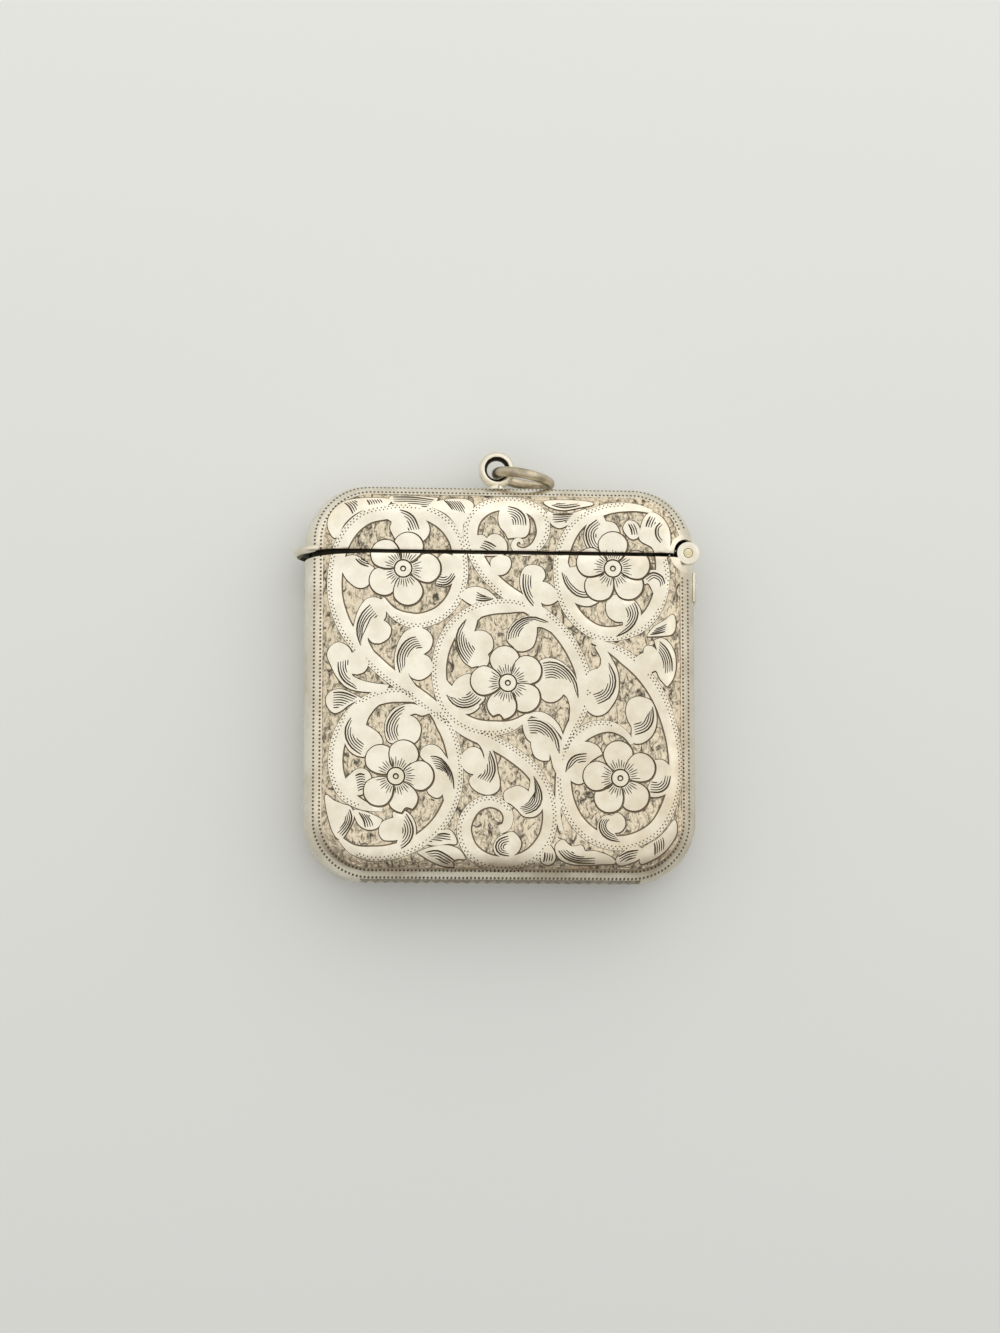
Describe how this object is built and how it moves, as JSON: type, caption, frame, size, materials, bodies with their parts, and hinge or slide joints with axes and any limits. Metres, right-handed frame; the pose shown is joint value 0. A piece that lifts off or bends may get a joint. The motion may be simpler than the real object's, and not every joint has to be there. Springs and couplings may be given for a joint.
{
  "type": "vesta case",
  "caption": "Flat pocket match case of sheet silver with rounded corners, engraved faces, a side-hinged sprung lid, a thumb lip, a ribbed striker in its base and a jump ring.",
  "frame": {"origin": "on the flat back face that the case lies on, in the middle of the case's width and of its height without the loop", "axes": "+Z out of the engraved front face, +Y towards the lid's top and its ring, +X towards the hinge"},
  "size_m": [0.0437, 0.0471, 0.0095],
  "materials": {
    "engraved_silver": "polished silver with engraved, darkened ornament",
    "plain_silver": "worn polished silver",
    "pin_brass": "worn brass",
    "spring_steel": "darkened spring steel"
  },
  "bodies": {
    "case_body": {"body_front_shell": "engraved_silver", "body_back_shell": "engraved_silver", "mouth_rim": "plain_silver", "striker_strip": "plain_silver", "hinge_plate": "plain_silver", "body_knuckle_front": "plain_silver", "body_knuckle_back": "plain_silver", "hinge_pin": "pin_brass", "leaf_spring": "spring_steel", "spring_rivets": "spring_steel"},
    "lid": {"lid_front_shell": "engraved_silver", "lid_back_shell": "engraved_silver", "lid_knuckle": "plain_silver", "thumb_lip": "plain_silver", "suspension_loop": "plain_silver"},
    "ring": {"jump_ring": "plain_silver"}
  },
  "joints": [
    {"name": "lid_hinge", "type": "hinge", "parent": "case_body", "child": "lid", "pos_m": [0.02015, 0.0141, 0.00475], "axis": [0, 0, -1], "range_deg": [0, 100], "deforming": ["leaf_spring"]},
    {"name": "ring_swing", "type": "hinge", "parent": "lid", "child": "ring", "pos_m": [-0.0003, 0.02335, 0.00475], "axis": [0, 0, 1], "range_deg": [0, 202]}
  ]
}
